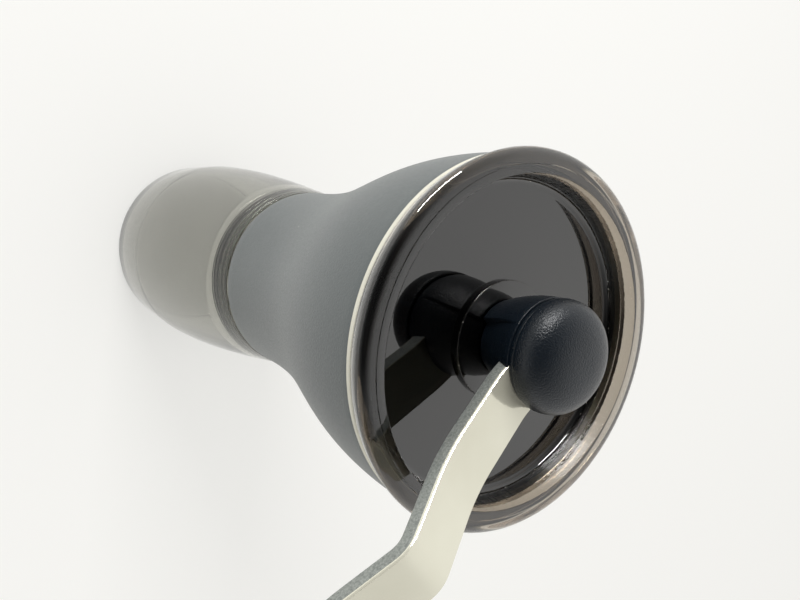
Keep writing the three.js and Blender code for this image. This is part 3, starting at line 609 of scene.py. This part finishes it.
for source, target in (
    (ridgeIn.outputs["Turns"], ridgePath.inputs["Rotations"]),
    (ridgeIn.outputs["Radius"], ridgePath.inputs["Start Radius"]),
    (ridgeIn.outputs["Radius"], ridgePath.inputs["End Radius"]),
    (ridgeIn.outputs["Rise"], ridgePath.inputs["Height"]),
    (ridgePath.outputs["Curve"], ridgeUp.inputs["Curve"]),
    (ridgeIn.outputs["Depth"], ridgeTooth.inputs["Radius"]),
    (ridgeUp.outputs["Curve"], ridgeSweep.inputs["Curve"]),
    (ridgeTooth.outputs["Curve"], ridgeSweep.inputs["Profile Curve"]),
    (ridgeIn.outputs["Low"], ridgeLift.inputs["Z"]),
    (ridgeSweep.outputs["Mesh"], ridgePlace.inputs["Geometry"]),
    (ridgeLift.outputs["Vector"], ridgePlace.inputs["Translation"]),
    (ridgeIn.outputs["Starts"], ridgeAxis.inputs["Count"]),
    (ridgeAxis.outputs["Mesh"], ridgeCopies.inputs["Points"]),
    (ridgePlace.outputs["Geometry"], ridgeCopies.inputs["Instance"]),
    (ridgeIn.outputs["Starts"], ridgeShare.inputs[1]),
    (ridgeShare.outputs["Value"], ridgeAngle.inputs[0]),
    (ridgeIndex.outputs["Index"], ridgeAngle.inputs[1]),
    (ridgeAngle.outputs["Value"], ridgeTurn.inputs["Z"]),
    (ridgeTurn.outputs["Vector"], ridgeCopies.inputs["Rotation"]),
):
    ridgeTree.links.new(source, target)
endTree(ridgeTree, ridgeIn, ridgeOut, ridgeCopies.outputs["Instances"])


def makeThread(name, shape, finish):
    mesh = bpy.data.meshes.new(name)
    mesh.from_pydata([(0, 0, 0)], [], [])
    source = linkPiece(name + "Start", mesh)
    modifier = source.modifiers.new("thread", "NODES")
    modifier.node_group = ridgeTree
    for label, value in shape.items():
        setInput(modifier, ridgeTree, label, value)
    setInput(modifier, ridgeTree, "Finish", finish)
    return bakeNodes(source, name, threadAngle)


neckThreadShape = {
    "Radius": 20.45 * mm, "Low": 74.0 * mm, "Rise": 5.0 * mm, "Turns": 1.25, "Depth": 0.9 * mm,
}
neckThread = makeThread("neckThread", neckThreadShape, hopperFinish)
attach(neckThread, "hopper")

hopper = makeHopper(hopperShape)
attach(hopper, "hopper")
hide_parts("hopper_body")


# jar
print("jar")
jarShape = {
    "foot": 25.6, "footRound": 2.3, "footAngles": (-80, -8), "footSteps": 8, "belly": 28.8, "bellyZ": 22,
    "mouth": 23.5, "handle": 0.377, "sideSteps": 24, "wall": 2, "floor": 2.6, "floorRound": 3,
    "mouthWall": 1.8, "mouthDepth": 9.5, "boreStep": 2, "lip": 0.3, "lipAngle": 30, "lipSteps": 3,
    "threadRows": 40, "threadDeep": 0.24, "pitch": 2, "starts": 2, "fade": 0.9, "boreSlack": 0.02,
    "sides": 144,
}


def jarSide(shape, inset, top, topRadius):
    bottom = shape["bellyZ"]
    first = Vector((shape["belly"] - inset, bottom))
    second = Vector((shape["belly"] - inset, bottom + (top - bottom) * shape["handle"]))
    third = Vector((topRadius, top))
    result = []
    for i in range(shape["sideSteps"] + 1):
        t = i / shape["sideSteps"]
        p = (1 - t) ** 2 * first + 2 * (1 - t) * t * second + t * t * third
        result.append((p.x, p.y))
    return result


# radius and lower and upper end of the bore in the mouth
def mouthBore(shape):
    return shape["mouth"] - shape["mouthWall"], mouthZ - shape["mouthDepth"], mouthZ - shape["lip"]


def makeJar(shape):
    bore, low, high = mouthBore(shape)
    lip = shape["lip"]
    foot = shape["footRound"]
    rows = shape["threadRows"]
    soft = shape["floorRound"]
    outside = jarSide(shape, 0, high, shape["mouth"])
    below = [point for point in outside if point[1] < low]
    inside = jarSide(shape, shape["wall"], low - shape["boreStep"], below[-1][0] - shape["wall"])
    innerFoot = shape["foot"] + foot - shape["wall"]
    profile = [(0, 0), (shape["foot"], 0)]
    profile += arc(shape["foot"], foot, foot, *shape["footAngles"], shape["footSteps"])
    profile += outside
    profile += arc(shape["mouth"] - lip, high, lip, shape["lipAngle"], 90, shape["lipSteps"])
    profile += arc(bore + lip, high, lip, 90, 180, shape["lipSteps"])
    profile += [(bore, high - (high - low) * (i + 1) / rows) for i in range(rows)]
    profile += inside[::-1]
    profile += arc(innerFoot - soft, shape["floor"] + soft, soft, 0, -90, shape["footSteps"])
    profile += [(0, shape["floor"])]
    return turnPiece("jarWall", profile, jarFinish, shape["sides"])


# right-handed thread in the bore of the mouth
def cutJarThread(piece, shape):
    bore, low, high = mouthBore(shape)
    for vertex in piece.data.vertices:
        reach = math.hypot(vertex.co.x, vertex.co.y) / mm
        height = vertex.co.z / mm
        if abs(reach - bore) > shape["boreSlack"] or not low <= height <= high:
            continue
        turn = math.atan2(vertex.co.y, vertex.co.x)
        wave = math.cos(2 * math.pi * height / shape["pitch"] - shape["starts"] * turn)
        depth = shape["threadDeep"] * wave * smoothStep(min(height - low, high - height) / shape["fade"])
        vertex.co.x *= 1 + depth / reach
        vertex.co.y *= 1 + depth / reach


jar = makeJar(jarShape)
cutJarThread(jar, jarShape)
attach(jar, "jar")
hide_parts("jar")


# lid
print("lid")
lidShape = {
    "radius": 36, "skirtBottom": 157.4, "skirtTaper": 0.7, "skirtWall": 1.1, "skirtIn": 0.1, "skirtUp": 0.15,
    "crownRound": 1.95, "crownSteps": 10, "pan": 31.3, "panTaper": 0.7, "panFillet": 1.6, "filletSteps": 6,
    "panZ": 155, "panFloor": 2.2, "plug": 32.84, "plugBevel": 0.8, "rimThick": 4.15,
    "line": 33, "lineHalf": 0.09, "lineDeep": 0.07, "edge": 0.25, "edgeSteps": 4, "sides": 192,
    "boss": 11.5, "bossRound": 0.25, "bossSteps": 5, "bossTop": 156.05, "hole": 4.9, "holeBevel": 0.2,
}


def makeLid(shape):
    start = shape["radius"] - shape["crownRound"]
    skirt = shape["radius"] - shape["skirtTaper"]
    pocket = lidTop - shape["rimThick"]
    low = shape["panZ"] - shape["panFloor"]
    fillet = shape["panFillet"]
    edge = shape["edge"]
    soft = shape["bossRound"]
    foot = shape["skirtBottom"]
    profile = [(skirt - shape["skirtWall"], foot), (skirt - shape["skirtIn"], foot)]
    profile += [(skirt, foot + shape["skirtUp"])]
    for i in range(shape["crownSteps"] + 1):
        turn = math.radians(90 / shape["crownSteps"] * i)
        reach = start + shape["crownRound"] * math.cos(turn)
        profile.append((reach, widestZ + (lidTop - widestZ) * math.sin(turn)))
    profile += [(shape["line"] + shape["lineHalf"], lidTop), (shape["line"], lidTop - shape["lineDeep"])]
    profile += [(shape["line"] - shape["lineHalf"], lidTop)]
    profile += arc(shape["pan"] + edge, lidTop - edge, edge, 90, 180, shape["edgeSteps"])
    profile += arc(shape["pan"] - shape["panTaper"] - fillet, shape["panZ"] + fillet, fillet, 0, -90,
                   shape["filletSteps"])
    profile += [(shape["boss"], shape["panZ"])]
    profile += arc(shape["boss"] - soft, shape["bossTop"] - soft, soft, 0, 90, shape["bossSteps"])
    profile += [(shape["hole"] + shape["holeBevel"], shape["bossTop"])]
    profile += [(shape["hole"], shape["bossTop"] - shape["holeBevel"]), (shape["hole"], low)]
    profile += [(shape["plug"] - shape["plugBevel"], low), (shape["plug"], low + shape["plugBevel"])]
    profile += [(shape["plug"], pocket), (skirt - shape["skirtWall"], pocket)]
    return turnPiece("clearLid", profile, lidFinish, shape["sides"])


lid = makeLid(lidShape)
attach(lid, "lid")
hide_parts("lid")

lidSealShape = {
    "inner": 32.9, "outer": 35.2, "bottom": 156.15, "top": 157.35, "edge": 0.3, "edgeSteps": 4, "sides": 160,
}


def makeLidSeal(shape):
    edge = shape["edge"]
    profile = [(shape["inner"], shape["bottom"])]
    profile += arc(shape["outer"] - edge, shape["bottom"] + edge, edge, -90, 0, shape["edgeSteps"])
    profile += arc(shape["outer"] - edge, shape["top"] - edge, edge, 0, 90, shape["edgeSteps"])
    profile += [(shape["inner"], shape["top"])]
    return turnPiece("lidSealRing", profile, sealFinish, shape["sides"])


lidSeal = makeLidSeal(lidSealShape)
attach(lidSeal, "lid")
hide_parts("lid_seal")


# hub
print("hub and cap")
hubShape = {
    "bottom": 156.3, "frontFoot": 6.3, "backFoot": 7.8, "top": 10.2, "frontSwell": 1.35, "backSwell": 1.85,
    "backAngle": 204, "step": 2.5, "stepShares": (-0.3, 0, 0.25, 0.5, 0.75, 1, 1.3),
    "foot": 0.35, "footSteps": 4, "edge": 0.15, "edgeSteps": 3, "flats": 7.1, "socketTop": 163.15,
    "socketBevel": 0.25, "socketUp": 0.2, "centre": 0.01, "softAngle": 32, "sides": 144, "rows": 30,
    "armHalf": 5.5, "armTail": 8.65, "slotGap": 0.05, "slotOver": 1, "slotSteps": 24,
}


# the hub is fuller at its back than at its front, with a narrow step between them
def hubRadius(shape, angle, height):
    left = max(0, 1 - (height - shape["bottom"]) / (armTop - shape["bottom"]))
    front = shape["top"] - (shape["top"] - shape["frontFoot"]) * left ** shape["frontSwell"]
    back = shape["top"] - (shape["top"] - shape["backFoot"]) * left ** shape["backSwell"]
    beyond = abs(angle - 180) - shape["backAngle"] / 2
    return back + (front - back) * smoothStep(beyond / shape["step"])


def makeHub(shape):
    angles = {360 * k / shape["sides"] for k in range(shape["sides"])}
    for side in (-1, 1):
        border = 180 + side * shape["backAngle"] / 2
        angles |= {border + side * shape["step"] * share for share in shape["stepShares"]}
    angles = sorted(angles)

    def ring(height, radiusAt):
        turns = [(math.radians(angle), radiusAt(angle)) for angle in angles]
        return [(radius * math.cos(turn), radius * math.sin(turn), height) for turn, radius in turns]

    def bellRing(height, shrink=0):
        return ring(height, lambda angle: hubRadius(shape, angle, height) - shrink)

    def hexRadius(angle):
        return shape["flats"] / 2 / math.cos(math.radians(angle % 60 - 30))

    rings = [ring(shape["socketTop"], lambda angle: shape["centre"]), ring(shape["socketTop"], hexRadius)]
    rings.append(ring(shape["bottom"] + shape["socketUp"], hexRadius))
    rings.append(ring(shape["bottom"], lambda angle: hexRadius(angle) + shape["socketBevel"]))
    for step in range(shape["footSteps"] + 1):
        turn = math.radians(90 / shape["footSteps"] * step)
        height = shape["bottom"] + shape["foot"] * (1 - math.cos(turn))
        rings.append(bellRing(height, shape["foot"] * (1 - math.sin(turn))))
    low = shape["bottom"] + shape["foot"]
    high = armTop - shape["edge"]
    for step in range(1, shape["rows"] + 1):
        rings.append(bellRing(low + (high - low) * step / shape["rows"]))
    for step in range(1, shape["edgeSteps"] + 1):
        turn = math.radians(90 / shape["edgeSteps"] * step)
        rings.append(bellRing(high + shape["edge"] * math.sin(turn), shape["edge"] * (1 - math.cos(turn))))
    rings.append(ring(armTop, lambda angle: shape["centre"]))
    return loftPiece("hubBell", rings, hubFinish, shape["softAngle"])


# slot in the hub's top that the arm's tail lies in
def cutArmSlot(piece, shape):
    low = armBottom - shape["slotGap"]
    half = shape["armHalf"]
    outline = [(2 * shape["top"], -half), (2 * shape["top"], half)]
    outline += arc(half - shape["armTail"], 0, half, 90, 270, shape["slotSteps"])
    levels = (low, armTop + shape["slotOver"])
    tool = loftPiece("slotTool", [[(x, y, z) for x, y in outline] for z in levels], hubFinish)
    cutting = piece.modifiers.new("slot", "BOOLEAN")
    cutting.operation = "DIFFERENCE"
    cutting.solver = "EXACT"
    cutting.object = tool
    result = bakeNodes(piece, piece.name, shape["softAngle"])
    bpy.data.objects.remove(tool)
    return result


hub = cutArmSlot(makeHub(hubShape), hubShape)
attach(hub, "crank")
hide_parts("hub_sleeve")

capShape = {
    "radius": 10.33, "rim": 0.45, "rimSteps": 5, "underside": 1.2, "height": 6.6, "fullness": 0.8,
    "steps": 40, "washer": 9.9, "washerBore": 1.8, "washerRound": 0.3, "washerSteps": 4, "washerGap": 0.05,
    "sides": 144, "softAngle": 50,
}


def makeCap(shape):
    rim = capBottom + shape["rim"]
    profile = [(0, capBottom), (shape["radius"] - shape["underside"], capBottom)]
    profile += arc(shape["radius"] - shape["rim"], rim, shape["rim"], -90, 0, shape["rimSteps"])
    for step in range(1, shape["steps"]):
        turn = math.pi / 2 * step / shape["steps"]
        reach = shape["radius"] * math.cos(turn) ** shape["fullness"]
        profile.append((reach, rim + shape["height"] * math.sin(turn) ** shape["fullness"]))
    profile.append((0, rim + shape["height"]))
    return turnPiece("roundCap", profile, hubFinish, shape["sides"], shape["softAngle"])


def makeCapWasher(shape):
    low = armTop + shape["washerGap"]
    high = capBottom - shape["washerGap"]
    soft = shape["washerRound"]
    profile = [(shape["washerBore"], low)]
    profile += arc(shape["washer"] - soft, low + soft, soft, -90, 0, shape["washerSteps"])
    profile += arc(shape["washer"] - soft, high - soft, soft, 0, 90, shape["washerSteps"])
    profile += [(shape["washerBore"], high)]
    return turnPiece("capWasher", profile, hubFinish, shape["sides"])


cap = makeCap(capShape)
capWasher = makeCapWasher(capShape)
for piece, node in ((cap, "hub_cap"), (capWasher, "hub_washer")):
    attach(piece, "crank")
    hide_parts(node)


# crank arm; each point of its line has x, height over the hub's top and how far its bend reaches
print("crank arm")
armShape = {
    "width": 10.9, "thick": 2.6, "tail": 8.6, "reach": 102,
    "line": [(-9.6, 0, 0), (10.6, 0, 1.1), (27, 2.8, 5), (42.5, 9.7, 2.6), (58, 4.6, 5), (112.9, 4.6, 0)],
    "bendSteps": 10, "flatStep": 1.2, "endGap": 0.3, "endShares": (0, 0.02, 0.06, 0.12, 0.2, 0.3, 0.45),
    "bevel": 0.26, "bevelIn": 0.23, "bevelDown": 1.7, "underBevel": 0.5, "bevelMost": 0.5,
    "narrowest": 0.02, "sidewaysUnder": 0.2, "softAngle": 24,
}


def armTopLine(shape):
    corners = shape["line"]
    points = []
    for i, (x, z, bend) in enumerate(corners):
        here = Vector((x, z + armTop))
        if not bend:
            points.append(here)
            continue
        before = Vector((corners[i - 1][0], corners[i - 1][1] + armTop)) - here
        after = Vector((corners[i + 1][0], corners[i + 1][1] + armTop)) - here
        start = here + before.normalized() * bend
        end = here + after.normalized() * bend
        for step in range(shape["bendSteps"] + 1):
            t = step / shape["bendSteps"]
            points.append((1 - t) ** 2 * start + 2 * (1 - t) * t * here + t * t * end)
    fine = []
    for first, second in zip(points, points[1:]):
        count = max(1, round((second - first).length / shape["flatStep"]))
        fine += [first.lerp(second, i / count) for i in range(count)]
    fine.append(points[-1])
    return fine


# both ends of the strip are half circles
def armHalfWidth(shape, x):
    half = shape["width"] / 2
    tailCentre = half - shape["tail"]
    beyond = max(tailCentre - x, x - shape["reach"], 0)
    return math.sqrt(max(0, half * half - beyond ** 2)) if beyond else half


def armStations(shape):
    half = shape["width"] / 2
    low = -shape["tail"]
    high = shape["reach"] + half
    line = armTopLine(shape)
    stations = [point for point in line if low + shape["endGap"] < point.x < high - shape["endGap"]]
    for share in shape["endShares"]:
        for x in (round(low + share * half, 4), round(high - share * half, 4)):
            first, second = next(pair for pair in zip(line, line[1:]) if pair[0].x <= x <= pair[1].x)
            t = (x - first.x) / (second.x - first.x)
            stations.append(Vector((x, first.y + (second.y - first.y) * t)))
    return sorted(stations, key=lambda point: point.x)


def makeArm(shape):
    stations = armStations(shape)
    thick = shape["thick"]
    rings = []
    for i, here in enumerate(stations):
        before = stations[max(i - 1, 0)]
        after = stations[min(i + 1, len(stations) - 1)]
        along = (after - before).normalized()
        down = Vector((along.y, -along.x))
        wide = max(armHalfWidth(shape, here.x), shape["narrowest"])
        cut = min(shape["bevel"], wide * shape["bevelMost"])
        under = cut * shape["underBevel"]
        edge = [(wide - cut, 0), (wide - cut * shape["bevelIn"], cut), (wide, cut * shape["bevelDown"])]
        edge += [(wide, thick - under), (wide - under, thick)]
        section = edge + [(-across, depth) for across, depth in edge[::-1]]
        rings.append([
            (here.x + down.x * depth, across, here.y + down.y * depth) for across, depth in section
        ])
    piece = loftPiece("crankStrip", rings, armFinish, shape["softAngle"])
    piece.data.materials.append(shearedFinish)
    for face in piece.data.polygons:
        if abs(face.normal.z) < shape["sidewaysUnder"]:
            face.material_index = 1
    return piece


arm = makeArm(armShape)
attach(arm, "crank")
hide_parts("crank_arm")


# knob
print("knob")
knobShape = {
    "centre": 102, "bottom": 172.7, "length": 40, "base": 10, "belly": 11.8, "baseRound": 1.2,
    "baseAngle": -6, "baseSteps": 6, "lowHandle": 0.4, "highHandle": 0.55, "sideSteps": 24, "bore": 3.3,
    "web": 29, "plug": 8.6, "plugDeep": 3, "plugGap": 0.05, "capHeight": 7.4, "capSteps": 20, "gap": 0.25,
    "softAngle": 35, "sides": 112,
}


def makeKnob(shape):
    low = shape["bottom"]
    top = low + shape["length"]
    soft = shape["baseRound"]
    profile = [(shape["bore"], low)]
    profile += arc(shape["base"] - soft, low + soft, soft, -90, shape["baseAngle"], shape["baseSteps"])
    profile += bezier([
        (shape["base"], low + soft),
        (shape["base"], low + shape["length"] * shape["lowHandle"]),
        (shape["belly"], low + shape["length"] * shape["highHandle"]),
        (shape["belly"], top - shape["gap"]),
    ], shape["sideSteps"])
    profile += [(shape["belly"] - shape["gap"], top), (shape["plug"], top)]
    profile += [(shape["plug"], low + shape["web"]), (shape["bore"], low + shape["web"])]
    return turnPiece("knobGrip", profile, blackFinish, shape["sides"], shape["softAngle"], shape["centre"])


def makeKnobCap(shape):
    top = shape["bottom"] + shape["length"]
    seam = top + shape["plugGap"]
    rim = seam + shape["gap"]
    plug = shape["plug"] - shape["plugGap"]
    dome = shape["capHeight"] - shape["gap"]
    profile = [(0, top - shape["plugDeep"]), (plug, top - shape["plugDeep"]), (plug, seam)]
    profile += [(shape["belly"] - shape["gap"], seam), (shape["belly"], rim)]
    for step in range(1, shape["capSteps"]):
        turn = math.pi / 2 * step / shape["capSteps"]
        profile.append((shape["belly"] * math.cos(turn), rim + dome * math.sin(turn)))
    profile.append((0, rim + dome))
    return turnPiece("knobEnd", profile, blackFinish, shape["sides"], shape["softAngle"], shape["centre"])


knob = makeKnob(knobShape)
knobEnd = makeKnobCap(knobShape)
for piece, node in ((knob, "knob"), (knobEnd, "knob_cap")):
    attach(piece, "knob")
    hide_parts(node)


# pieces that keep their solids
print("inner pieces")
for name, finish in {
    "neck_seal": darkSealFinish, "guide_bridge": blackFinish, "upper_bush": nylonFinish,
    "lower_bush": nylonFinish, "outer_burr": ceramicFinish, "burr_cup": blackFinish,
    "drive_shaft": shaftFinish, "thrust_washer": nylonFinish, "retaining_ring": shaftFinish,
    "spring_washer": shaftFinish, "burr_spring": shaftFinish, "inner_burr": ceramicFinish,
    "burr_driver": blackFinish, "adjuster_nut": blackFinish, "hub_screw": shaftFinish,
    "knob_pin": shaftFinish, "knob_washer": nylonFinish,
}.items():
    paintNode(name, finish)


# floor, light and background
print("stage")
stageLook = {
    "floor": tone(246, 245, 242), "floorSize": 30, "floorDrop": 0.0002, "floorRough": 0.9, "floorShine": 0.1,
    "pale": (1, 0.998, 0.97, 1), "paleShare": 0.5,
    "sky": (1, 0.995, 0.98, 1), "skyForLight": 0.75, "skySeen": 1.0,
    "darkSide": (0.341, -0.506, 0.792), "darkInner": 24, "darkOuter": 82, "darkLevel": 0.06,
    "keyFrom": (-0.47, -0.81, 0.34), "keyAim": (0, 0, 0.1), "keyFar": 1.0, "keyWide": 0.5, "keyHigh": 0.13,
    "keyPower": 6.4,
}


# one where the eye, a mirror or glass sees the stage, and nought where it only lights the object
def seenShare(tree):
    path = addNode(tree, "ShaderNodeLightPath")
    direct = product(tree, path.outputs["Is Camera Ray"], path.outputs["Is Glossy Ray"], "MAXIMUM")
    return path, product(tree, direct, path.outputs["Is Transmission Ray"], "MAXIMUM")


floorMesh = bpy.data.meshes.new("floor")
half = stageLook["floorSize"] / 2
floorCorners = [(-half, -half, 0), (half, -half, 0), (half, half, 0), (-half, half, 0)]
floorMesh.from_pydata(floorCorners, [], [(0, 1, 2, 3)])
floorFinish, floorTree, floorShader = newFinish("paleFloor")
floorShader.inputs["Base Color"].default_value = stageLook["floor"]
floorShader.inputs["Roughness"].default_value = stageLook["floorRough"]
floorShader.inputs["Specular IOR Level"].default_value = stageLook["floorShine"]
floorPath, floorSeen = seenShare(floorTree)
floorPale = addNode(floorTree, "ShaderNodeEmission", Color=stageLook["pale"])
floorMix = addNode(floorTree, "ShaderNodeMixShader")
floorTree.links.new(spread(floorTree, floorSeen, 0, stageLook["paleShare"], 0, 1), floorMix.inputs["Fac"])
floorTree.links.new(floorShader.outputs["BSDF"], floorMix.inputs[1])
floorTree.links.new(floorPale.outputs["Emission"], floorMix.inputs[2])
floorTree.links.new(floorMix.outputs["Shader"], floorTree.nodes["Material Output"].inputs["Surface"])
floorMesh.materials.append(floorFinish)
floor = linkPiece("floor", floorMesh)
floor.location = (0, 0, -stageLook["floorDrop"])

# pale sky all round, with the dark side of the room where the photo was taken from, in reflections only
world = bpy.data.worlds.new("softStudio")
scene.world = world
world.use_nodes = True
sky = world.node_tree
background = sky.nodes["Background"]
skyPath, skySeen = seenShare(sky)
skyStrength = spread(sky, skySeen, stageLook["skyForLight"], stageLook["skySeen"], 0, 1)
sky.links.new(skyStrength, background.inputs["Strength"])
skyWay = addNode(sky, "ShaderNodeTexCoord")
toDark = addNode(sky, "ShaderNodeVectorMath", operation="DOT_PRODUCT")
toDark.inputs[1].default_value = Vector(stageLook["darkSide"]).normalized()
sky.links.new(skyWay.outputs["Generated"], toDark.inputs[0])
darkEdge = [math.cos(math.radians(stageLook[label])) for label in ("darkOuter", "darkInner")]
darkShare = spread(sky, toDark.outputs["Value"], 0, 1, *darkEdge)
mirrored = product(sky, darkShare, skyPath.outputs["Is Glossy Ray"])
skyMix = addNode(sky, "ShaderNodeMix", data_type="RGBA")
skyMix.inputs["A"].default_value = stageLook["sky"]
skyMix.inputs["B"].default_value = [stageLook["darkLevel"]] * 3 + [1]
sky.links.new(mirrored, skyMix.inputs["Factor"])
sky.links.new(skyMix.outputs["Result"], background.inputs["Color"])

keyData = bpy.data.lights.new("keyLight", "AREA")
keyData.shape = "RECTANGLE"
keyData.size = stageLook["keyWide"]
keyData.size_y = stageLook["keyHigh"]
keyData.energy = stageLook["keyPower"]
key = bpy.data.objects.new("keyLight", keyData)
keyWay = Vector(stageLook["keyFrom"]).normalized()
key.location = Vector(stageLook["keyAim"]) + keyWay * stageLook["keyFar"]
key.rotation_euler = keyWay.to_track_quat("Z", "Y").to_euler()
scene.collection.objects.link(key)

print("done")
